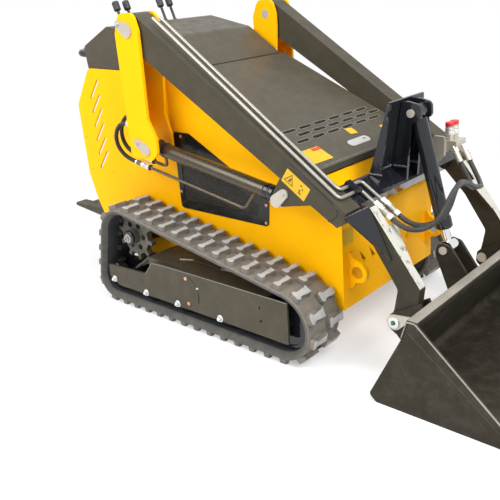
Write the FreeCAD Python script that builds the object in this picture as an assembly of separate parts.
import FreeCAD, Part
import math
import os
from FreeCAD import Vector

# Mini track loader, millimetres.  X runs forward, Y to the machine's left, Z up from the ground.
# Sizes along X are written from the machine's datum, the plane 98 mm ahead of the drive
# sprockets, and every solid is moved by -row_middle_x when it is exported, so that the
# exported frame has its origin under the middle of the whole machine.
# Pieces on the right side (negative Y) are modelled, and the left ones are their mirror images.

# ---------------------------------------------------------------- driving dimensions
track_half_width = 495.0        # centre plane to the outer face of a belt
belt_width = 180.0
belt_pitch = 72.0
belt_links = 36
cord_depth = 8.0                # inner face of the belt to its steel cords
carcass_thickness = 20.0
tread_height = 25.0
drive_lug_height = 22.0
drive_lug_width = 40.0
drive_lug_root = 0.22           # half of a drive lug at its root, as a share of a link

sprocket_x, sprocket_z = -98.0, 295.0
sprocket_teeth = 10
sprocket_width = 24.0
rear_idler_x = -192.0
rear_idler_radius = 60.0
front_idler_radius = 102.0
roller_radius = 46.0
roller_x = [19.0, 209.0, 440.0]
axle_radius = 12.0
wheel_gap = 0.5                 # between a wheel's rim and the belt, and a tooth and the belt

track_plate = 8.0               # cover plates and inner frame plates
cover_inset = 10.0              # outer face of a belt to its cover plate
frame_top_z = 242.0
roof_fall = 0.122               # slope of a track frame's roof towards the front

body_half_width = 306.0         # centre plane to the outer face of a side panel
side_plate = 8.0
front_plate_thickness = 10.0
body_front_x = 870.0
body_rear_x = -530.0
rear_plate_x = -350.0           # the side panels stand back past the rear plate
rear_plate_thickness = 10.0
body_bottom_z = 165.0
front_bend_z = 480.0            # where the front plate leans back towards the hood
slot_pitch = 62.0
slot_count = 6
slot_width = 13.0
hood_front_x, hood_front_z = 800.0, 658.0
hood_rear_x = 150.0
hood_slope_deg = 25.0
hood_thickness = 5.0
hood_lip = 22.0
hood_gap = 6.0                  # hood to the panels under it
hood_open_deg = 60.0
console_top_z = 1130.0
grab_bar_radius = 15.0

boom_pivot_x, boom_pivot_z = 50.0, 1122.0
boom_raise_deg = 70.0
arm_width = 80.0
arm_outer_y = 425.0             # centre plane to an arm's outer face
arm_end_x, arm_end_z = 954.0, 541.0     # middle of the arm's front end
arm_slope_deg = 34.0
arm_depth_front = 64.0
arm_depth_rear = 118.0
arm_wall_gap = 6.0              # arm to tower plate, each side
tower_plate = 12.0
boom_pin_radius = 20.0

lift_base_x, lift_base_z = 79.0, 682.0
lift_rod_x, lift_rod_z = 697.0, 568.0
lift_barrel_radius = 27.0
lift_rod_radius = 15.0
lift_pin_radius = 14.0
lift_stroke = 488.0
lift_eye_width = 44.0
feed_tube_radius = 6.0
feed_tube_drop = 99.0           # lift cylinder's axis to the long feed tube
short_tube_drop = 77.0
hose_reach = 128.0              # base pin back to the ends of the feed tubes' ferrules

cross_tube_setback = 8.0
cross_tube_width = 90.0
cross_tube_depth = 45.0
cross_tube_wall = 6.0

knee_outer_y = 337.0
knee_thickness = 36.0
knee_pin_x, knee_pin_z = 1093.0, 205.0
knee_pin_radius = 18.0

tilt_base_x, tilt_base_z = 977.0, 806.0
tilt_rod_x, tilt_rod_z = 1100.0, 345.0
tilt_barrel_radius = 26.0
tilt_rod_radius = 14.0
tilt_pin_radius = 14.0
tilt_eye_width = 50.0
tilt_reach_out = 205.0
tilt_reach_in = 35.0
tilt_curl_deg = 15.0
tilt_dump_deg = 95.0
brace_foot_y, brace_top_y = 172.0, 112.0
brace_top_z = 850.0

line_radius = 6.0               # steel hydraulic lines on the right arm
line_y = [-401.0, -368.0]
line_turn = [52.0, 80.0]        # arm's front end back to where each line turns inwards
fitting_y = [-288.0, -246.0]    # where the two lines end in front of the cross tube
coupler_y = [188.0, 149.0]      # where the hoses reach the coupler block
hose_diameter = 17.0
fitting_reach = 86.0            # arm's front end to the ends of the lines' ferrules

bucket_half_width = 505.0
bucket_plate = 6.0
bucket_side_plate = 8.0
bucket_front_x = 1605.0
bucket_crest_x, bucket_crest_z = 1206.0, 250.0     # top of the sloping back
bucket_top_x, bucket_top_z = 1222.0, 305.0         # point of the side plates
bucket_heel_x, bucket_heel_z = 1090.0, 22.0
pin_side_gap = 1.0              # knee to attachment ear

platform_rear_x = -745.0
platform_half_width = 260.0
platform_z = 300.0
platform_notch_half_width = 203.0
platform_notch_depth = 60.0

running_clearance = 0.05        # radial, pin in bore
rod_clearance = 0.3             # radial, rod in gland and piston in barrel

sprocket_seat_radius = sprocket_teeth * belt_pitch / (2.0 * math.pi) - cord_depth
row_middle_x = (bucket_front_x + platform_rear_x) / 2.0

rear_idler_z = rear_idler_radius + carcass_thickness + tread_height
front_idler_z = front_idler_radius + carcass_thickness + tread_height
roller_z = roller_radius + carcass_thickness + tread_height
belt_middle_y = -track_half_width + belt_width / 2.0
arm_middle_y = -arm_outer_y + arm_width / 2.0
brow_z = hood_front_z - hood_lip - hood_gap        # upper edge of the front plate
tower_outer_y = -arm_outer_y - arm_wall_gap        # inner face of a tower's outer plate
tower_inner_y = -arm_outer_y + arm_width + arm_wall_gap


# ---------------------------------------------------------------- small tools
def box(x0, x1, y0, y1, z0, z1):
    return Part.makeBox(x1 - x0, y1 - y0, z1 - z0, Vector(x0, y0, z0))


def rod(x, y0, y1, z, radius):
    """A round bar along Y."""
    low, high = min(y0, y1), max(y0, y1)
    return Part.makeCylinder(radius, high - low, Vector(x, low, z), Vector(0, 1, 0))


def between(start, end, radius):
    """A round bar from one point to another."""
    a, b = Vector(*start), Vector(*end)
    return Part.makeCylinder(radius, (b - a).Length, a, b - a)


def hexagon(start, end, across_flats):
    """A hexagonal bar from one point to another."""
    a, b = Vector(*start), Vector(*end)
    along = (b - a).normalize()
    side = along.cross(Vector(0, 1, 0)) if abs(along.y) < 0.9 else Vector(1, 0, 0)
    side.normalize()
    corner = side * (across_flats / math.sqrt(3.0))
    ring = [a + FreeCAD.Rotation(along, 60.0 * i).multVec(corner) for i in range(6)]
    face = Part.Face(Part.makePolygon(ring + [ring[0]]))
    return face.extrude(Vector(*end) - a)


def slab(corners, thickness):
    """A flat plate from its corner points in space, thickened along its normal."""
    points = [Vector(*corner) for corner in corners]
    normal = (points[1] - points[0]).cross(points[2] - points[0]).normalize()
    return Part.Face(Part.makePolygon(points + [points[0]])).extrude(normal * thickness)


def outline(corners):
    """A closed wire in the XZ plane; a corner is (x, z) or (x, z, fillet radius)."""
    points = [Vector(c[0], 0, c[1]) for c in corners]
    radii = [c[2] if len(c) > 2 else 0.0 for c in corners]
    count = len(points)
    cuts = []
    for i in range(count):
        before, here, after = points[i - 1], points[i], points[(i + 1) % count]
        if not radii[i]:
            cuts.append((here, here, None))
            continue
        u, v = (before - here).normalize(), (after - here).normalize()
        half = u.getAngle(v) / 2.0
        run = radii[i] / math.tan(half)
        middle = (u + v).normalize() * (radii[i] / math.sin(half) - radii[i])
        cuts.append((here + u * run, here + v * run, here + middle))
    edges = []
    for i in range(count):
        first, last, mid = cuts[i]
        if mid is not None:
            edges.append(Part.Arc(first, mid, last).toShape())
        start = cuts[(i + 1) % count][0]
        if (start - last).Length > 1e-6:
            edges.append(Part.LineSegment(last, start).toShape())
    return Part.Wire(edges)


def plate(corners, y0, y1, holes=()):
    """A flat plate: an XZ outline given its thickness along Y, with round holes (x, z, r)."""
    low, high = min(y0, y1), max(y0, y1)
    wire = outline(corners)
    wire.translate(Vector(0, low, 0))
    solid = Part.Face(wire).extrude(Vector(0, high - low, 0))
    for x, z, radius in holes:
        solid = solid.cut(rod(x, low - 1, high + 1, z, radius))
    return solid


def strap(x0, z0, r0, x1, z1, r1, y0, y1):
    """A flat strap round two centres, with straight sides that touch both rounds."""
    heading = math.atan2(z1 - z0, x1 - x0)
    lean = math.asin((r0 - r1) / math.hypot(x1 - x0, z1 - z0))
    left, right = heading + math.pi / 2 - lean, heading - math.pi / 2 + lean
    corners = [(x0 + r0 * math.cos(left), z0 + r0 * math.sin(left)),
               (x1 + r1 * math.cos(left), z1 + r1 * math.sin(left)),
               (x1 + r1 * math.cos(right), z1 + r1 * math.sin(right)),
               (x0 + r0 * math.cos(right), z0 + r0 * math.sin(right))]
    return fuse([plate(corners, y0, y1), rod(x0, y0, y1, z0, r0), rod(x1, y0, y1, z1, r1)])


def route(points, bend=None):
    """Straight runs joined by arcs.  Without a bend radius each arc is as large as its runs allow."""
    corners = [Vector(*point) for point in points]
    edges, radii = [], []
    here = corners[0]
    for before, corner, after in zip(corners, corners[1:], corners[2:]):
        u, v = (before - corner).normalize(), (after - corner).normalize()
        half_turn = (math.pi - u.getAngle(v)) / 2.0
        run = 0.45 * min((before - corner).Length, (after - corner).Length)
        if bend is not None:
            run = bend * math.tan(half_turn)
        radius = run / math.tan(half_turn)
        radii.append(radius)
        first, last = corner + u * run, corner + v * run
        middle = corner + (u + v).normalize() * (radius / math.cos(half_turn) - radius)
        edges.append(Part.LineSegment(here, first).toShape())
        edges.append(Part.Arc(first, middle, last).toShape())
        here = last
    edges.append(Part.LineSegment(here, corners[-1]).toShape())
    return Part.Wire(edges), radii


def tube(points, radius, bend=None):
    """A round tube, rod or hose along a route."""
    wire, radii = route(points, bend)
    start = Vector(*points[0])
    section = Part.Wire(Part.makeCircle(radius, start, Vector(*points[1]) - start))
    solid = wire.makePipeShell([section], True, True)
    if abs(solid.Volume / (math.pi * radius * radius * wire.Length) - 1.0) > 0.01:
        raise RuntimeError("a tube's volume is not its section times its length")
    return solid, wire.Length, radii


def mirror(shape):
    return shape.mirror(Vector(0, 0, 0), Vector(0, 1, 0))


def both(shape):
    """The same piece on the right and on the left."""
    return [shape, mirror(shape)]


def fuse(shapes):
    solid = shapes[0].fuse(shapes[1:]) if len(shapes) > 1 else shapes[0]
    return solid.removeSplitter()


def polar(x, z, distance, degrees):
    angle = math.radians(degrees)
    return x + distance * math.cos(angle), z + distance * math.sin(angle)


def export(name, shapes):
    shapes = shapes if isinstance(shapes, list) else [shapes]
    solids = []
    for shape in shapes:
        solids += shape.Solids
    moved = []
    for solid in solids:
        copy = solid.copy()
        copy.translate(Vector(-row_middle_x, 0, 0))
        if not copy.isValid():
            raise RuntimeError(name + " is not a valid solid")
        moved.append(copy)
    whole = moved[0] if len(moved) == 1 else Part.makeCompound(moved)
    whole.exportStep("parts/" + name + ".step")


def export_hose(name, points):
    """A hose that hangs between its two fittings, in a file of its own."""
    solid, length, radii = tube(points, hose_diameter / 2.0)
    print(name, "length", round(length, 1), "bend radii", [round(radius, 1) for radius in radii])
    export(name, solid)


# ---------------------------------------------------------------- tracks
def loop_spans(extra, front_x=None):
    """Straight and round spans of the belt, clockwise from the rear idler."""
    front_x = front_idler_x if front_x is None else front_x
    circles = [(rear_idler_x, rear_idler_z, rear_idler_radius + extra),
               (sprocket_x, sprocket_z, sprocket_seat_radius + extra),
               (front_x, front_idler_z, front_idler_radius + extra)]
    touch = []
    for i in range(3):
        x0, z0, r0 = circles[i]
        x1, z1, r1 = circles[(i + 1) % 3]
        heading = math.atan2(z1 - z0, x1 - x0)
        lean = math.asin((r0 - r1) / math.hypot(x1 - x0, z1 - z0))
        normal = heading + math.pi / 2.0 - lean
        touch.append(normal)
    spans = []
    for i in range(3):
        x0, z0, r0 = circles[i]
        x1, z1, r1 = circles[(i + 1) % 3]
        start, end = touch[i - 1], touch[i]
        sweep = (start - end) % (2 * math.pi)
        spans.append(("arc", x0, z0, r0, start, sweep, r0 * sweep))
        a = (x0 + r0 * math.cos(end), z0 + r0 * math.sin(end))
        b = (x1 + r1 * math.cos(end), z1 + r1 * math.sin(end))
        spans.append(("run", a, b, end, math.hypot(b[0] - a[0], b[1] - a[1])))
    return spans


def tensioned_front_x():
    """Where the tensioner holds the front idler: the belt's cords are a whole number of links."""
    low, high = 200.0, 1600.0
    for _ in range(60):
        middle = (low + high) / 2.0
        if sum(span[-1] for span in loop_spans(cord_depth, middle)) < belt_links * belt_pitch:
            low = middle
        else:
            high = middle
    return middle


front_idler_x = tensioned_front_x()


def loop_point(distance, height):
    """A point at a distance along the belt's cords, height above the belt's inner face."""
    distance %= belt_links * belt_pitch
    height -= cord_depth
    for span in loop_spans(cord_depth):
        length = span[-1]
        if distance <= length:
            if span[0] == "arc":
                _, x, z, r, start, sweep, _ = span
                angle = start - sweep * distance / length
                return (x + (r + height) * math.cos(angle), z + (r + height) * math.sin(angle))
            _, a, b, normal, _ = span
            t = distance / length
            return (a[0] + (b[0] - a[0]) * t + height * math.cos(normal),
                    a[1] + (b[1] - a[1]) * t + height * math.sin(normal))
        distance -= length
    return loop_point(0.0, height + cord_depth)


def lug_angle_on_sprocket():
    """The direction from the sprocket's axle to a drive lug that it holds, in degrees."""
    spans = loop_spans(cord_depth)
    before = spans[0][-1] + spans[1][-1]
    index = math.ceil(before / belt_pitch) + 1
    _, _, _, radius, start, _, _ = spans[2]
    return math.degrees(start - (index * belt_pitch - before) / radius)


def smooth_loop(extra):
    """The belt's outline at a height above its inner face, as lines and arcs."""
    edges = []
    for span in loop_spans(extra):
        if span[0] == "arc":
            _, x, z, r, start, sweep, _ = span
            ends = [Vector(x + r * math.cos(start - sweep * t), 0, z + r * math.sin(start - sweep * t))
                    for t in (0.0, 0.5, 1.0)]
            edges.append(Part.Arc(*ends).toShape())
        else:
            a, b = span[1], span[2]
            edges.append(Part.LineSegment(Vector(a[0], 0, a[1]), Vector(b[0], 0, b[1])).toShape())
    return Part.Wire(edges)


def toothed_loop(base, tip, root_share, tip_share, phase):
    """An outline with one tooth for each link, from the base height to the tip height."""
    points = []
    for i in range(belt_links):
        for share, height in ((-root_share, base), (-tip_share, tip), (tip_share, tip), (root_share, base)):
            x, z = loop_point((i + phase + share) * belt_pitch, height)
            points.append(Vector(x, 0, z))
    return Part.makePolygon(points + [points[0]])


def track_belt():
    """One rubber belt with its staggered tread blocks outside and its drive lugs inside."""
    outer_y = -track_half_width
    inner_y = outer_y + belt_width
    lug_y0 = belt_middle_y - drive_lug_width / 2.0
    lug_y1 = belt_middle_y + drive_lug_width / 2.0
    parts = []
    bands = [(outer_y, lug_y0, 0.0, False), (lug_y0, belt_middle_y, 0.0, True),
             (belt_middle_y, lug_y1, 0.5, True), (lug_y1, inner_y, 0.5, False)]
    for y0, y1, phase, with_lugs in bands:
        outside = toothed_loop(carcass_thickness, carcass_thickness + tread_height, 0.34, 0.22, phase)
        if with_lugs:
            inside = toothed_loop(0.0, -drive_lug_height, drive_lug_root, 0.12, 0.0)
        else:
            inside = smooth_loop(0.0)
        for wire in (outside, inside):
            wire.translate(Vector(0, y0, 0))
        solid = Part.Face(outside).extrude(Vector(0, y1 - y0, 0))
        hollow = Part.Face(inside).extrude(Vector(0, y1 - y0, 0))
        parts.append(solid.cut(hollow))
    return fuse(parts)


def sprocket():
    """A ten-tooth drive sprocket with lightening holes, in the middle of its belt."""
    steps = []
    root = sprocket_seat_radius - drive_lug_height - 3.0
    flat = math.radians((0.5 - drive_lug_root) * 360.0 / sprocket_teeth)
    tip = sprocket_seat_radius * math.cos(flat) - wheel_gap
    for i in range(sprocket_teeth):
        for share, radius in ((-0.18, root), (-0.13, tip), (0.13, tip), (0.18, root)):
            angle = lug_angle_on_sprocket() + 360.0 * (i + 0.5 + share) / sprocket_teeth
            steps.append(polar(sprocket_x, sprocket_z, radius, angle))
    low, high = belt_middle_y - sprocket_width / 2.0, belt_middle_y + sprocket_width / 2.0
    disc = plate(steps, low, high)
    for i in range(6):
        x, z = polar(sprocket_x, sprocket_z, 52.0, 60.0 * i)
        disc = disc.cut(rod(x, low - 1, high + 1, z, 13.0))
    hub = rod(sprocket_x, low - 22, high, sprocket_z, 32.0)
    nut = hexagon((sprocket_x, low - 36, sprocket_z), (sprocket_x, low - 21, sprocket_z), 27.0)
    studs = [rod(*polar_y(sprocket_x, sprocket_z, 24.0, 72.0 * i + 15.0, low - 27, low - 21), 4.0)
             for i in range(5)]
    return fuse([disc, hub, nut] + studs)


def polar_y(x, z, distance, degrees, y0, y1):
    """Arguments for a round bar along Y that stands off an axle."""
    bar_x, bar_z = polar(x, z, distance, degrees)
    return bar_x, y0, y1, bar_z


def drive_motor():
    start = belt_middle_y + sprocket_width / 2.0
    flange = rod(sprocket_x, start, start + 16, sprocket_z, 55.0)
    body = rod(sprocket_x, start + 16, -body_half_width, sprocket_z, 42.0)
    return fuse([flange, body])


def wheel(x, z, radius):
    """A wheel in two rims, astride the belt's drive lugs, bored for its axle."""
    inner = drive_lug_width / 2.0 + 6.0
    outer = 52.0
    core = radius - drive_lug_height - 6.0 if radius > 60.0 else axle_radius + 2.0
    rims = []
    for side in (-1, 1):
        rims.append(rod(x, belt_middle_y + side * inner, belt_middle_y + side * outer, z, radius - wheel_gap))
    solid = fuse(rims + [rod(x, belt_middle_y - outer, belt_middle_y + outer, z, core)])
    for y in (belt_middle_y - outer, belt_middle_y + outer - 6.0):
        dish = rod(x, y, y + 6.0, z, radius - 14.0).cut(rod(x, y, y + 6.0, z, axle_radius + 8.0))
        if radius > roller_radius:
            solid = solid.cut(dish)
    return solid.cut(rod(x, belt_middle_y - outer, belt_middle_y + outer, z, axle_radius))


def build_tracks():
    outer_y = -track_half_width
    belt = track_belt()
    export("track_belt_right", belt)
    export("track_belt_left", mirror(belt))
    export("drive_sprockets", both(sprocket()))
    export("drive_motors", both(drive_motor()))

    cover_y = outer_y + cover_inset
    inner_y = -body_half_width - track_plate
    end_x = front_idler_x - front_idler_radius - 15.0
    end_z = frame_top_z - (end_x - 215) * roof_fall
    carried = [(rear_idler_x, rear_idler_z)] + [(x, roller_z) for x in roller_x]
    inner_plate = plate([(-236, 78, 12), (-240, 135, 30), (-150, 176, 20), (-62, 178, 20),
                         (30, frame_top_z, 20), (215, frame_top_z, 20), (end_x, end_z, 20), (740, 150, 20),
                         (765, 120, 20), (735, 78, 20)], inner_y, -body_half_width)

    lip_y = cover_y + track_plate + 14.0
    roof = plate([(-62, 178), (30, frame_top_z), (215, frame_top_z), (end_x, end_z), (end_x, end_z - 6),
                  (215, frame_top_z - 6), (32, frame_top_z - 6), (-60, 170)], lip_y, inner_y)
    lip = plate([(30, frame_top_z), (215, frame_top_z), (end_x, end_z), (end_x, end_z - 30),
                 (215, frame_top_z - 34), (30, frame_top_z - 34)], lip_y, lip_y + 6.0)
    frame = [inner_plate, roof, lip]
    for x, z in carried:
        frame.append(rod(x, cover_y, inner_y, z, axle_radius))
    frame.append(rod(front_idler_x, belt_middle_y - 52.0, inner_y, front_idler_z, axle_radius))
    export("track_frames", both(fuse(frame)))

    rollers = []
    for x in roller_x:
        rollers += both(wheel(x, roller_z, roller_radius))
    export("track_rollers", rollers)
    export("track_idlers", both(wheel(rear_idler_x, rear_idler_z, rear_idler_radius))
           + both(wheel(front_idler_x, front_idler_z, front_idler_radius)))

    cover = plate([(-215, 166, 8), (27, 176), (65, 221, 14), (80, 238, 10), (765, 235, 4), (762, 80, 4),
                   (-160, 82, 14), (-218, 112, 20)],
                   cover_y, cover_y + track_plate,
                  [(640, 187, 5), (641, 136, 5)])
    slit = rod(253, cover_y - 1, cover_y + 3, 148, 82).cut(rod(253, cover_y - 1, cover_y + 3, 148, 78))
    slit = slit.common(box(285, 340, cover_y - 1, cover_y + 3, 122, 222))
    posts = [rod(x, cover_y + track_plate, belt_middle_y - 53.0, z, axle_radius + 5.0) for x, z in carried]
    cover = fuse([cover.cut(slit)] + posts)
    for x, z in carried:
        cover = cover.cut(rod(x, cover_y - 1, belt_middle_y, z, axle_radius))
    export("track_covers", both(cover))


# ---------------------------------------------------------------- body
def hood_z(x):
    """Height of the hood's upper face."""
    return hood_front_z + (hood_front_x - x) * math.tan(math.radians(hood_slope_deg))


def slanted_slot(x, z, y0, y1):
    """A slot with round ends that runs back and down from (x, z)."""
    return strap(x, z, slot_width / 2.0, x - 61.0, z - 73.0, slot_width / 2.0, y0, y1)


def side_panel():
    half = body_half_width
    under_hood = hood_thickness + 1.5 * hood_gap
    lip_x = hood_front_x - hood_thickness - hood_gap
    corners = [(-424, 253), (-484, 370), (-521, 485), (body_rear_x, 800, 20), (-420, 960, 30),
               (hood_rear_x, hood_z(hood_rear_x) - under_hood),
               (lip_x, hood_z(lip_x) - under_hood), (lip_x, brow_z), (hood_front_x - 4, brow_z),
               (body_front_x, front_bend_z),
               (body_front_x, body_bottom_z), (-330, body_bottom_z, 20)]
    window = [(110, 700, 12), (168, 700, 12), (520, 500, 12), (512, 446, 12), (108, 446, 12)]
    panel = plate(corners, -half, -half + side_plate).cut(plate(window, -half - 1, -half + side_plate + 1))
    for i in range(slot_count):
        top = 723 + slot_pitch * (3 - i)
        panel = panel.cut(slanted_slot(-364, top, -half - 1, -half + side_plate + 1))
    return panel


def front_plate():
    """The front plate, upright below and leaning back to the hood, with two vents a side."""
    inner = body_half_width - side_plate
    back = front_plate_thickness
    top_x = hood_front_x - 4.0
    shape = plate([(body_front_x - back, body_bottom_z), (body_front_x, body_bottom_z),
                   (body_front_x, front_bend_z), (top_x, brow_z), (top_x - back, brow_z - 3.0),
                   (body_front_x - back, front_bend_z - 3.0)], -inner, inner)
    for y, z in ((208.0, 356.0), (148.0, 352.0)):
        for side in (-1, 1):
            corners = [Vector(body_front_x - back - 1, side * (y - inwards), z - below)
                       for inwards, below in ((0, 0), (32, 60), (44, 46))]
            face = Part.Face(Part.makePolygon(corners + [corners[0]]))
            shape = shape.cut(face.extrude(Vector(back + 2.0, 0, 0)))
    return shape


def tie_down():
    """A lashing plate on the front, with a round eye."""
    x = body_front_x
    return plate([(x, 366), (x + 9, 366, 3), (x + 20, 346, 14), (x + 50, 338, 24), (x + 74, 308, 28),
                  (x + 62, 270, 28), (x + 24, 262, 14), (x + 12, 237, 4), (x, 236)], -270, -254,
                 [(x + 32, 300, 22)])


def boom_tower():
    """Two plates a side that carry an arm and a lift cylinder, with the web between them."""
    head = arm_depth_rear / 2.0
    rear_x = boom_pivot_x - head - 13.0
    x, z = boom_pivot_x, boom_pivot_z
    corners = [(rear_x + 8, 652, 18), (100, 640, 25), (140, 672, 20), (141, 730, 30), (104, 800, 40),
               (x + head, z - 60, 40), (x + head, z, 30), (x + 40, z + 60, 34), (x - 40, z + 60, 34),
               (rear_x, z - 10, 30)]
    holes = [(x, z, boom_pin_radius), (lift_base_x, lift_base_z, lift_pin_radius)]
    inner_corners = ([corners[0], (88, 645, 20), (108, 668, 14), (108, 730, 30), (84, 800, 40)]
                     + corners[5:])
    outer = plate(corners, tower_outer_y - tower_plate, tower_outer_y, holes)
    inner = plate(inner_corners, tower_inner_y, tower_inner_y + tower_plate, holes)
    back = box(rear_x + 4, rear_x + 16, tower_outer_y, tower_inner_y, 740, z - 60)
    webs = [box(web_x, web_x + 12, tower_inner_y + tower_plate, -body_half_width, 690, z - 170)
            for web_x in (rear_x + 10, 62.0)]
    return fuse([outer, inner, back] + webs)


def side_grille():
    """A plate with a slanted window and the perforated sheet behind it."""
    half = body_half_width
    corners = [(88, 727, 14), (172, 727, 24), (562, 515, 16), (552, 415, 16), (92, 419, 16)]
    window = [(118, 690, 6), (150, 690, 6), (512, 492, 6), (505, 452, 6), (116, 452, 6)]
    frame = plate(corners, -half - 3, -half).cut(plate(window, -half - 4, -half + 1))
    sheet = plate([(112, 695, 6), (152, 695, 6), (516, 496, 6), (508, 449, 6), (112, 449, 6)],
                  -half, -half + 2)
    return fuse([frame, sheet])


def hood():
    """The sloping lid: a top sheet with a lip in front, a flange a side and three rows of slots."""
    outer = body_half_width + hood_gap + hood_thickness
    start = hood_rear_x + 6.0
    t, lip = hood_thickness, hood_lip
    top = plate([(hood_front_x, hood_z(hood_front_x)), (start, hood_z(start)), (start, hood_z(start) - t),
                 (hood_front_x - t, hood_z(hood_front_x) - t - 1), (hood_front_x - t, hood_front_z - lip),
                 (hood_front_x, hood_front_z - lip)], -outer, outer)
    flange = plate([(hood_front_x, hood_z(hood_front_x)), (start, hood_z(start)),
                    (start, hood_z(start) - lip), (hood_front_x, hood_front_z - lip)], -outer, -outer + t)
    lid = fuse([top] + both(flange))
    for row, shift in enumerate((0.0, 45.0, 0.0)):
        x = 600.0 + 30.0 * row
        for i in range(-3, 3):
            y = 90.0 * i + shift + 22.0
            slot = box(x - 7, x + 7, y, y + 56, hood_z(x) - 20, hood_z(x) + 20)
            for end in (y, y + 56):
                slot = slot.fuse(Part.makeCylinder(7, 40, Vector(x, end, hood_z(x) - 20)))
            lid = lid.cut(slot)
    return lid


def console_block():
    """The outside of the cowl behind the hood, with its control panel sloping at the back."""
    inner = body_half_width - side_plate
    start = hood_rear_x - 6.0
    top = console_top_z
    return plate([(rear_plate_x, 905), (-425, 962), (-436, top - 80, 20), (-260, top, 30),
                  (-20, top - 55, 60), (start, hood_z(start) - 2), (start, 905)], -inner, inner)


def console():
    """The cowl, hollow and open below."""
    inner = body_half_width - side_plate
    start = hood_rear_x - 6.0
    top = console_top_z
    inside = [(rear_plate_x + 8, 890), (rear_plate_x + 8, 910), (-412, 964), (-412, top - 84, 14),
              (-258, top - 12, 22), (-26, top - 66, 50),
              (start - 12, hood_z(start) - 16), (start - 12, 890)]
    return console_block().cut(plate(inside, -inner + 8, inner - 8))


def control_levers():
    """Four levers on the panel, each with its boot and its knob."""
    levers = []
    slope = math.atan2(80.0, 176.0)
    for y in (-150.0, -95.0, 95.0, 150.0):
        x, z = -330.0, console_top_z - 80.0 + (436.0 - 330.0) * math.tan(slope)
        boot = Part.makeCone(22, 9, 30, Vector(x, y, z), Vector(-math.sin(slope), 0, math.cos(slope)))
        stick = between((x - 4, y, z + 8), (x - 38, y, z + 96), 6)
        knob = between((x - 33, y, z + 84), (x - 48, y, z + 123), 15)
        knob = knob.makeFillet(7, knob.Edges)
        levers.append(fuse([boot, stick, knob]))
    return levers


def grab_bar():
    """The operator's bar across the back of the console."""
    inner = body_half_width - side_plate
    foot, reach, height = -428.0, -545.0, 1010.0
    half = inner - 40.0
    points = [(foot, -half, height), (reach, -half, height + 10), (reach, half, height + 10),
              (foot, half, height)]
    bar, _, _ = tube(points, grab_bar_radius, 45.0)
    flanges = [between((foot - 1, y, height), (foot - 9, y, height), 28) for y in (-half, half)]
    return fuse([bar] + flanges).cut(console_block())


def platform():
    """The standing platform: a plate notched at the back, with a tapered side plate a side."""
    rear, half, z = platform_rear_x, platform_half_width, platform_z
    deck = box(rear, rear_plate_x, -half, half, z - 6, z)
    notch = platform_notch_half_width
    notch = box(rear - 1, rear + platform_notch_depth, -notch, notch, z - 7, z + 1)
    side = plate([(rear, z - 6), (rear, z - 14), (-500, z - 42), (-440, z - 42), (-458, z - 6)],
                 -half, -half + 6)
    brackets = [box(-520, rear_plate_x, y, y + 8, z - 50, z - 6) for y in (-150, 142)]
    return fuse([deck.cut(notch)] + both(side) + brackets)


def build_body():
    inner = body_half_width - side_plate
    export("side_panel_right", side_panel())
    export("side_panel_left", mirror(side_panel()))
    export("front_plate", front_plate())
    back = rear_plate_x + rear_plate_thickness
    export("floor_plate", box(back, body_front_x - front_plate_thickness, -inner, inner,
                              body_bottom_z, body_bottom_z + 8))
    rear = box(rear_plate_x, back, -inner, inner, body_bottom_z, 904)
    for i in range(6):
        rear = rear.cut(box(rear_plate_x - 1, back + 1, -170, 170, 520 + 34 * i, 532 + 34 * i))
    export("rear_plate", rear)
    export("engine_block", box(-330, 330, -220, 220, body_bottom_z + 60, 640))
    export("tie_down_plates", both(tie_down()))
    export("boom_towers", both(boom_tower()))
    export("side_grilles", both(side_grille()))
    export("engine_hood", hood())
    export("console", console())
    export("control_levers", control_levers())
    export("grab_bar", grab_bar())
    export("platform", platform())
    outer_end = tower_outer_y - tower_plate
    inner_end = tower_inner_y + tower_plate
    boom_pin = fuse([rod(boom_pivot_x, outer_end - 6, inner_end, boom_pivot_z, boom_pin_radius),
                     strap(boom_pivot_x, boom_pivot_z, 27, boom_pivot_x - 44, boom_pivot_z + 22, 14,
                           outer_end - 6, outer_end)])
    base_pin = fuse([rod(lift_base_x, outer_end - 6, inner_end, lift_base_z, lift_pin_radius),
                     strap(lift_base_x, lift_base_z, 22, lift_base_x - 44, lift_base_z + 24, 17,
                           outer_end - 6, outer_end)])
    export("tower_pins", both(boom_pin) + both(base_pin))


# ---------------------------------------------------------------- boom
def arm_point(along, up):
    """A point measured back along the arm from its front end, and up across it."""
    angle = math.radians(arm_slope_deg)
    return (arm_end_x - along * math.cos(angle) + up * math.sin(angle),
            arm_end_z + along * math.sin(angle) + up * math.cos(angle))


def arm_top(along, above):
    """A point above the arm's upper face, measured back from its front end."""
    reach = math.hypot(boom_pivot_x - arm_end_x, boom_pivot_z - arm_end_z)
    swell = (arm_depth_rear - arm_depth_front) / 2.0 * along / reach
    return arm_point(along, arm_depth_front / 2.0 + swell + above)


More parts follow.
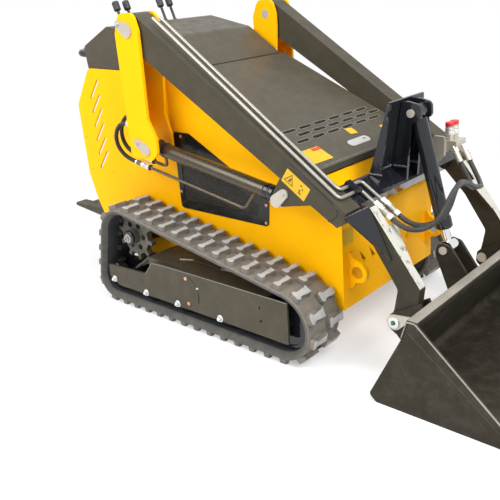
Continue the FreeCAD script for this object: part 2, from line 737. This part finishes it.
def arm():
    """A boxed arm from its pivot to its squared front end, with a pair of lugs for the lift rod."""
    outer, inner = -arm_outer_y, -arm_outer_y + arm_width
    heading = math.degrees(math.atan2(boom_pivot_z - arm_end_z, boom_pivot_x - arm_end_x))
    front_up, rear_up = arm_depth_front / 2.0, arm_depth_rear / 2.0
    beam = plate([arm_point(0, -front_up), arm_point(0, front_up),
                  polar(boom_pivot_x, boom_pivot_z, rear_up, heading - 90),
                  polar(boom_pivot_x, boom_pivot_z, rear_up, heading + 90)], outer, inner)
    head = rod(boom_pivot_x, outer, inner, boom_pivot_z, rear_up)
    lug = [(751, 699, 10), (681, 591, 24), (706, 548, 24), (838, 573, 10), (915, 526), (900, 600)]
    solid = fuse([beam, head, plate(lug, outer, outer + 14), plate(lug, inner - 14, inner)])
    bore = boom_pin_radius + running_clearance
    solid = solid.cut(rod(boom_pivot_x, outer - 1, inner + 1, boom_pivot_z, bore))
    return solid.cut(rod(lift_rod_x, outer - 1, inner + 1, lift_rod_z, lift_pin_radius))


def cross_tube_block(inset=0.0):
    front, rear = cross_tube_setback, cross_tube_setback + cross_tube_width
    top, bottom = arm_depth_front / 2.0, arm_depth_front / 2.0 - cross_tube_depth
    inner = arm_outer_y - arm_width
    return plate([arm_point(rear - inset, top - inset), arm_point(front + inset, top - inset),
                  arm_point(front + inset, bottom + inset), arm_point(rear - inset, bottom + inset)],
                 -inner, inner)


def brace_half_width(z):
    foot_z = arm_point(cross_tube_setback + cross_tube_width, arm_depth_front / 2.0)[1]
    share = (z - foot_z) / (brace_top_z - foot_z)
    return brace_foot_y + (brace_top_y - brace_foot_y) * share


def tilt_tower():
    """The leaning back plate on the cross tube, its tapered side plates and the tilt cylinder's clevis."""
    back_x, top_x, t = 896.0, 940.0, 8.0
    low_z, top_z = 575.0, brace_top_z
    low_half, top_half = brace_half_width(low_z), brace_half_width(top_z)
    back = slab([(back_x, -low_half, low_z), (top_x, -top_half, top_z), (top_x, top_half, top_z),
                 (back_x, low_half, low_z)], t)
    side_top_z = 806.0
    share = (side_top_z - low_z) / (top_z - low_z)
    side_top_x = back_x + (top_x - back_x) * share
    side = slab([(back_x, -low_half, low_z), (942, -brace_half_width(low_z), low_z),
                 (side_top_x + 12, -brace_half_width(side_top_z), side_top_z),
                 (side_top_x, -brace_half_width(side_top_z), side_top_z)], t)
    inner = tilt_eye_width / 2.0 + arm_wall_gap
    x, z = tilt_base_x, tilt_base_z
    clevis = plate([(back_x + 6, low_z), (958, 560), (974, z - 40, 20), (x + 36, z - 18, 18),
                    (x + 34, z + 28, 20), (x - 8, z + 38, 20), (top_x + 2, top_z - 6),
                    (top_x - 2, top_z - 30)],
                   -inner - tower_plate, -inner, [(x, z, tilt_pin_radius)])
    whole = fuse([back] + both(side) + both(clevis))
    return [solid for solid in whole.cut(cross_tube_block()).Solids if solid.Volume > 1000.0]


def knee():
    """The plate that drops from the cross tube to an attachment pin, with its tapered front flange."""
    top, bottom = arm_depth_front / 2.0, arm_depth_front / 2.0 - cross_tube_depth
    front = [(1000, 566, 12), (1047, 504), (1129, 392)]
    corners = [arm_point(cross_tube_setback + 62, bottom), arm_point(cross_tube_setback, bottom),
               arm_point(cross_tube_setback, top)] + front
    corners += [(1174, 330, 24), (1166, 270, 30), (1131, 176, 30), (1058, 176, 30), (1084, 240, 30),
                (1097, 312, 24), (1071, 351), (1012, 440)]
    web = plate(corners, -knee_outer_y, -knee_outer_y + knee_thickness,
                [(knee_pin_x, knee_pin_z, knee_pin_radius + running_clearance)])
    near, far = -knee_outer_y, -knee_outer_y + knee_thickness
    flange = slab([(1047, near, 504), (1047, far + 38, 504), (1129, far, 392), (1129, near, 392)], 10.0)
    return fuse([web, flange])


def knee_gusset():
    """The three-cornered plate from an arm's front end down to the knee's outer face."""
    near = -knee_outer_y
    return slab([(957.6, -arm_outer_y + 6, 548), (1070, near, 404), (992, near, 566)], 10.0)


def line_point(along, y):
    """A point on a hydraulic line's axis in front of the clamp."""
    x, z = arm_point(along, arm_depth_front / 2.0 + line_radius + 1.0)
    return (x, y, z)


def hydraulic_lines():
    """Two steel lines down the right arm: inwards over the cross tube, then on to a fitting each."""
    lines = []
    for line, end_y, turn_at in zip(line_y, fitting_y, line_turn):
        x, z = arm_top(1010.0, line_radius + 1.0)
        points = [(x, line, z), line_point(turn_at, line), line_point(turn_at, end_y),
                  line_point(-40.0, end_y)]
        pipe, _, _ = tube(points, line_radius, 16.0)
        nut = hexagon(line_point(-30.0, end_y), line_point(-50.0, end_y), 24.0)
        ferrule = between(line_point(-50.0, end_y), line_point(-fitting_reach, end_y), 11.0)
        lines.append(fuse([pipe, nut, ferrule]))
    return lines


def line_clamp():
    """The clamp block that holds both lines on the cross tube's upper face."""
    top = arm_depth_front / 2.0
    corners = [arm_point(38, top), arm_point(94, top), arm_point(94, top + 20), arm_point(38, top + 20)]
    block = plate(corners, -326, -300)
    for along in line_turn:
        x, _, z = line_point(along, 0.0)
        block = block.cut(rod(x, -330, -296, z, line_radius))
    return block


def coupler_mouth(index, back=0.0):
    """Where a hose enters the coupler block's ferrule, or a point further up that ferrule."""
    x, z = (1080.0, 603.0) if index == 0 else (1064.0, 604.0)
    return (x - 0.6 * back, coupler_y[index] + 0.3 * back, z + 0.74 * back)


def coupler_block():
    """The block on the cross tube that takes the two hoses and carries two capped quick couplers."""
    top = arm_depth_front / 2.0
    foot = plate([arm_point(70, top), arm_point(12, top), (1000, 622, 8), (1000, 690, 8), (958, 690, 8)],
                 150, 160)
    body = box(985, 1040, 160, 236, 634, 674)
    parts = [foot, body]
    for index in range(2):
        parts.append(between(coupler_mouth(index), coupler_mouth(index, 48), 11.0))
        parts.append(hexagon(coupler_mouth(index, 40), coupler_mouth(index, 64), 24.0))
    for y in (180.0, 216.0):
        parts.append(hexagon((1005, y, 674), (1005, y, 690), 27.0))
        parts.append(between((1005, y, 690), (1005, y, 724), 15.0))
    return fuse(parts)


def build_boom():
    inner = arm_outer_y - arm_width
    export("arm_right", arm())
    export("arm_left", mirror(arm()))
    export("cross_tube", cross_tube_block().cut(cross_tube_block(cross_tube_wall)))
    export("tilt_tower", tilt_tower())
    export("knees", both(knee()))
    export("knee_gussets", both(knee_gusset()))
    export("hydraulic_lines", hydraulic_lines())
    export("line_clamp", line_clamp())
    export("coupler_block", coupler_block())

    outer_stub = fuse([rod(lift_rod_x, -arm_outer_y - 6, -arm_outer_y + 14, lift_rod_z, lift_pin_radius),
                       strap(lift_rod_x, lift_rod_z, 22, lift_rod_x + 34, lift_rod_z + 28, 17,
                             -arm_outer_y - 6, -arm_outer_y)])
    inner_stub = rod(lift_rod_x, -inner - 14, -inner + 5, lift_rod_z, lift_pin_radius)
    tilt_reach = tilt_eye_width / 2.0 + arm_wall_gap + tower_plate + 6.0
    tilt_pin = rod(tilt_base_x, -tilt_reach, tilt_reach, tilt_base_z, tilt_pin_radius)
    export("boom_cylinder_pins", both(outer_stub) + both(inner_stub) + [tilt_pin])

    outer_hose = [line_point(-fitting_reach, fitting_y[0]), line_point(-fitting_reach - 42, fitting_y[0]),
                  (1121, -275, 493), (1155, -251, 502), (1177, -222, 526), (1186, -198, 562),
                  (1188, -166, 592), (1188, -122, 610), (1188, -76, 607), (1185, -34, 588),
                  (1182, 12, 567), (1178, 61, 555), (1159, 109, 544), (1132, 150, 551),
                  coupler_mouth(0, -38), coupler_mouth(0)]
    inner_hose = [line_point(-fitting_reach, fitting_y[1]), line_point(-fitting_reach - 38, fitting_y[1]),
                  (1116, -234, 495), (1149, -213, 500), (1172, -187, 520), (1182, -163, 550),
                  (1178, -132, 581), (1171, -93, 601), (1167, -50, 600), (1165, -10, 581),
                  (1163, 35, 557), (1147, 73, 543), (1121, 109, 547), coupler_mouth(1, -42),
                  coupler_mouth(1)]
    export_hose("tilt_hose_outer", outer_hose)
    export_hose("tilt_hose_inner", inner_hose)


# ---------------------------------------------------------------- cylinders
def along_lift(along, below, y):
    """A point measured along the lift cylinder from its base pin, and below its axis."""
    length = math.hypot(lift_rod_x - lift_base_x, lift_rod_z - lift_base_z)
    ux, uz = (lift_rod_x - lift_base_x) / length, (lift_rod_z - lift_base_z) / length
    return (lift_base_x + ux * along + uz * below, y, lift_base_z + uz * along - ux * below)


def cylinder_pair(base, tip, centre_y, barrel_radius, rod_radius, pin_radius, reach_out, reach_in, eye_width):
    """A barrel with its base eye, and a rod with its tip eye, as long as they are at rest.

    reach_out and reach_in are how far the rod goes out and in from there.
    """
    a = Vector(base[0], centre_y, base[1])
    b = Vector(tip[0], centre_y, tip[1])
    along = (b - a).normalize()
    eye_radius = pin_radius + 12.0
    gland_end = (b - a).Length - eye_radius - reach_in - 5.0
    tube_start = pin_radius + 10.0
    wall, gland, piston_length = 5.0, 30.0, 20.0
    piston_start = gland_end - gland - piston_length - reach_out - 3.0
    bore_start = piston_start - reach_in - 5.0
    if bore_start < tube_start + 6.0:
        raise RuntimeError("this cylinder is too short for its stroke")

    def bar(first, last, radius):
        return Part.makeCylinder(radius, last - first, a + along * first, along)

    barrel = fuse([bar(tube_start, gland_end - 14.0, barrel_radius),
                   bar(gland_end - 15.0, gland_end, barrel_radius - 3.0),
                   rod(base[0], centre_y - eye_width / 2.0, centre_y + eye_width / 2.0, base[1], eye_radius)])
    barrel = barrel.cut(bar(bore_start, gland_end - gland, barrel_radius - wall))
    barrel = barrel.cut(bar(gland_end - gland - 1.0, gland_end + 1.0, rod_radius + rod_clearance))
    barrel = barrel.cut(rod(base[0], centre_y - 60, centre_y + 60, base[1], pin_radius + running_clearance))
    ram = fuse([bar(piston_start + 5.0, (b - a).Length - pin_radius, rod_radius),
                bar(piston_start, piston_start + piston_length, barrel_radius - wall - rod_clearance),
                rod(tip[0], centre_y - eye_width / 2.0, centre_y + eye_width / 2.0, tip[1], eye_radius)])
    ram = ram.cut(rod(tip[0], centre_y - 60, centre_y + 60, tip[1], pin_radius + 1.0))
    return barrel, ram


def feed_tubes():
    """The two steel tubes under a lift barrel, one to each end, with their nuts and ferrules."""
    y, r = arm_middle_y, lift_barrel_radius
    long_tube, _, _ = tube([along_lift(-50, feed_tube_drop, y), along_lift(462, feed_tube_drop, y),
                            along_lift(500, r - 1, y)], feed_tube_radius, 30.0)
    short_tube, _, _ = tube([along_lift(-50, short_tube_drop, y + 20),
                             along_lift(14, short_tube_drop, y + 20),
                             along_lift(44, short_tube_drop - 14, y + 8), along_lift(44, r - 1, y)],
                            feed_tube_radius, 14.0)
    parts = []
    for pipe, drop, side in ((long_tube, feed_tube_drop, 0.0), (short_tube, short_tube_drop, 20.0)):
        nut = hexagon(along_lift(-44, drop, y + side), along_lift(-66, drop, y + side), 22.0)
        ferrule = between(along_lift(-66, drop, y + side), along_lift(-hose_reach, drop, y + side), 10.5)
        parts.append(fuse([pipe, nut, ferrule]))
    return parts


def build_cylinders():
    barrel, ram = cylinder_pair((lift_base_x, lift_base_z), (lift_rod_x, lift_rod_z), arm_middle_y,
                                lift_barrel_radius, lift_rod_radius, lift_pin_radius, lift_stroke, 2.0,
                                lift_eye_width)
    export("lift_barrel_right", barrel)
    export("lift_barrel_left", mirror(barrel))
    export("lift_rod_right", ram)
    export("lift_rod_left", mirror(ram))
    tubes = feed_tubes()
    solid_barrel = Part.makeCylinder(lift_barrel_radius, 600, Vector(*along_lift(20, 0, arm_middle_y)),
                                     Vector(*along_lift(1, 0, 0)) - Vector(*along_lift(0, 0, 0)))
    tubes = [pipe.cut(solid_barrel) for pipe in tubes]
    export("feed_tubes_right", tubes)
    export("feed_tubes_left", [mirror(pipe) for pipe in tubes])
    barrel, ram = cylinder_pair((tilt_base_x, tilt_base_z), (tilt_rod_x, tilt_rod_z), 0.0,
                                tilt_barrel_radius, tilt_rod_radius, tilt_pin_radius, tilt_reach_out,
                                tilt_reach_in, tilt_eye_width)
    export("tilt_barrel", barrel)
    export("tilt_rod", ram)

    build_lift_hoses()


def build_lift_hoses():
    """Two hoses a side that loop from the tower's back plate round to the feed tubes."""
    rear_x = boom_pivot_x - arm_depth_rear / 2.0 - 9.0
    outer_y, inner_y = arm_middle_y - 15.0, arm_middle_y + 21.0
    fittings = []
    for y, z in ((outer_y, 764.0), (inner_y, 790.0)):
        nut = hexagon((rear_x, y, z), (rear_x - 16, y, z), 22.0)
        ferrule = between((rear_x - 16, y, z), (rear_x - 56, y, z), 10.5)
        fittings.append(fuse([nut, ferrule]))
    export("hose_bulkheads", both(fittings[0]) + both(fittings[1]))
    start_x = rear_x - 56
    outer_hose = [(start_x, outer_y, 764), (start_x - 32, outer_y, 764), (-139, -400, 745),
                  (-160, -399, 710),
                  (-161, -396, 671), (-141, -391, 638),
                  along_lift(-hose_reach - 44, feed_tube_drop, arm_middle_y),
                  along_lift(-hose_reach, feed_tube_drop, arm_middle_y)]
    inner_hose = [(start_x, inner_y, 790), (start_x - 34, inner_y, 790), (-143, -364, 769),
                  (-165, -364, 732),
                  (-166, -364, 693), (-146, -364, 659),
                  along_lift(-hose_reach - 46, short_tube_drop, arm_middle_y + 20),
                  along_lift(-hose_reach, short_tube_drop, arm_middle_y + 20)]
    for name, points in (("lift_hose_outer", outer_hose), ("lift_hose_inner", inner_hose)):
        export_hose(name + "_right", points)
        export_hose(name + "_left", [(x, -y, z) for x, y, z in points])


# ---------------------------------------------------------------- bucket
def back_point(along, behind):
    """A point up the bucket's sloping back from its heel, and out behind it."""
    dx, dz = bucket_crest_x - bucket_heel_x, bucket_crest_z - bucket_heel_z
    length = math.hypot(dx, dz)
    return (bucket_heel_x + dx / length * along - dz / length * behind,
            bucket_heel_z + dz / length * along + dx / length * behind)


def attachment_frame():
    """The plate on the bucket's back with an ear each side of both knees, and the tilt lugs."""
    outer_end = knee_outer_y + pin_side_gap + tower_plate
    inner_face = -knee_outer_y + knee_thickness + pin_side_gap
    x, z = knee_pin_x, knee_pin_z
    ear = [(x - 20, z + 22, 20), (x - 24, z - 24, 22), (x + 8, z - 44, 20), back_point(110, 4),
           back_point(252, 4), back_point(278, 38)]
    hole = [(x, z, knee_pin_radius)]
    outer_ear = plate(ear, -outer_end, -outer_end + tower_plate, hole)
    inner_ear = plate(ear, inner_face, inner_face + tower_plate, hole)
    skin = plate([back_point(92, 0), back_point(255, 0), back_point(255, 9), back_point(92, 9)],
                 -outer_end, outer_end)
    inner = tilt_eye_width / 2.0 + arm_wall_gap
    tx, tz = tilt_rod_x, tilt_rod_z
    lug = plate([back_point(258, 5), (tx + 26, tz + 16, 20), (tx - 20, tz + 26, 20), (tx - 30, tz - 16, 20),
                 back_point(130, 5)], -inner - tower_plate, -inner, [(tx, tz, tilt_pin_radius)])
    return fuse([skin] + both(outer_ear) + both(inner_ear) + both(lug))


def bucket():
    half, t = bucket_half_width, bucket_plate
    floor_front = bucket_front_x - 60.0
    outer = half - 5.0
    profile = [(bucket_top_x, bucket_top_z, 8), (bucket_crest_x, bucket_crest_z),
               (bucket_heel_x, bucket_heel_z, 14), (bucket_heel_x + 24, 0, 14), (floor_front, 0),
               (floor_front, 40), (bucket_top_x + 26, bucket_top_z)]
    side = plate(profile, -outer, -outer + bucket_side_plate)
    cutter = plate([(bucket_top_x + 4, bucket_top_z - 1), (bucket_top_x, bucket_top_z - 30),
                    (floor_front - 64, 26), (floor_front - 2, 26), (floor_front - 2, 40),
                    (bucket_top_x + 26, bucket_top_z - 1)], -half, -outer)
    inner = outer - bucket_side_plate
    shell = plate([(bucket_top_x - 2, bucket_top_z - t), (bucket_top_x + 28, bucket_top_z - t),
                   (bucket_top_x + 28, bucket_top_z), (bucket_top_x - t, bucket_top_z),
                   (bucket_crest_x, bucket_crest_z), (bucket_heel_x, bucket_heel_z, 20),
                   (bucket_heel_x + 24, 0, 20), (floor_front, 0), (floor_front, t),
                   (bucket_heel_x + 27, t, 15), (bucket_heel_x + t + 3, bucket_heel_z + 4, 15),
                   (bucket_crest_x + t + 1, bucket_crest_z - 2)], -inner, inner)
    return fuse([shell] + both(side) + both(cutter))


def build_bucket():
    export("attachment_frame", attachment_frame())
    export("bucket", bucket())
    half = bucket_half_width - 5.0 - bucket_side_plate
    floor_front, t = bucket_front_x - 60.0, bucket_plate
    edge = plate([(floor_front - 70, t), (floor_front - 70, t + 14), (bucket_front_x - 24, t + 14),
                  (bucket_front_x, 0), (floor_front, 0), (floor_front, t)], -half, half)
    export("cutting_edge", edge)

    outer_end = -knee_outer_y - pin_side_gap - tower_plate
    inner_end = -knee_outer_y + knee_thickness + pin_side_gap + tower_plate
    tip_x, tip_z = knee_pin_x + 52.0, knee_pin_z + 24.0
    knee_pin = fuse([rod(knee_pin_x, outer_end - 8, inner_end + 6, knee_pin_z, knee_pin_radius),
                     strap(knee_pin_x, knee_pin_z, 26, tip_x, tip_z, 8, outer_end - 6, outer_end)])
    inner = tilt_eye_width / 2.0 + arm_wall_gap
    stub = rod(tilt_rod_x, -inner - tower_plate - 6, -inner, tilt_rod_z, tilt_pin_radius)
    export("attachment_pins", both(knee_pin) + both(stub))


def main():
    os.makedirs("parts", exist_ok=True)
    build_tracks()
    build_body()
    build_boom()
    build_cylinders()
    build_bucket()


main()
